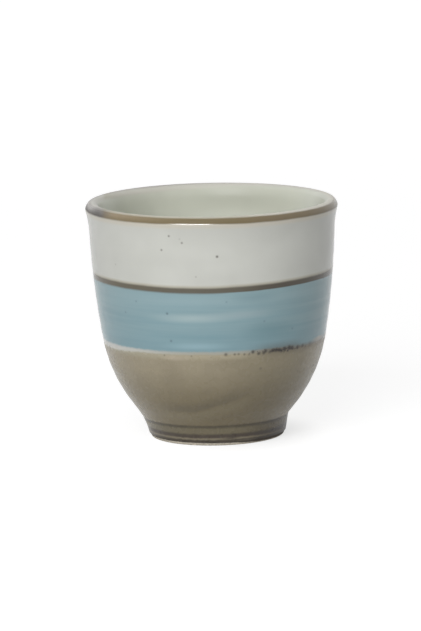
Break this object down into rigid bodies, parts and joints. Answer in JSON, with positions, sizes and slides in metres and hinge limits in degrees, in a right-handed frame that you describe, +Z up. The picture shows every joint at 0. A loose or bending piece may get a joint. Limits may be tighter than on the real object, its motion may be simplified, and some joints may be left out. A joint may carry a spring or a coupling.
{
  "type": "yunomi tea cup",
  "caption": "Handleless stoneware tea cup: a rounded bowl on a low foot ring, with a flared brown lip and bands of white, blue and grey-brown glaze.",
  "frame": {"origin": "centre of the cup's underside, on the table", "axes": "+Z up along the cup's axis, out of its mouth; -Y is the side that faces the viewer"},
  "size_m": [0.08, 0.08, 0.0756],
  "materials": {
    "bowl_clay": "fired stoneware, hidden under the glaze",
    "foot_clay": "bare fired stoneware at the standing edge, matt",
    "liner_glaze": "pale green-grey glaze, satin gloss",
    "rim_glaze": "iron-brown glaze, gloss",
    "white_glaze": "grey-white glaze with a few iron specks, satin gloss",
    "brown_line": "brushed iron-brown line, satin gloss",
    "blue_glaze": "brushed blue glaze, satin gloss",
    "pale_edge": "thin pale edge with iron specks, satin gloss",
    "grey_glaze": "grey-brown glaze, satin gloss",
    "foot_wash": "dark iron wash in streaks, satin",
    "well_glaze": "thin grey-brown glaze, satin gloss"
  },
  "bodies": {
    "root": {"bowl": "bowl_clay", "foot_ring": "foot_clay", "liner_glaze": "liner_glaze", "rim_glaze": "rim_glaze", "white_glaze": "white_glaze", "brown_line": "brown_line", "blue_glaze": "blue_glaze", "pale_edge": "pale_edge", "grey_glaze": "grey_glaze", "foot_wash": "foot_wash", "well_glaze": "well_glaze"}
  },
  "joints": []
}
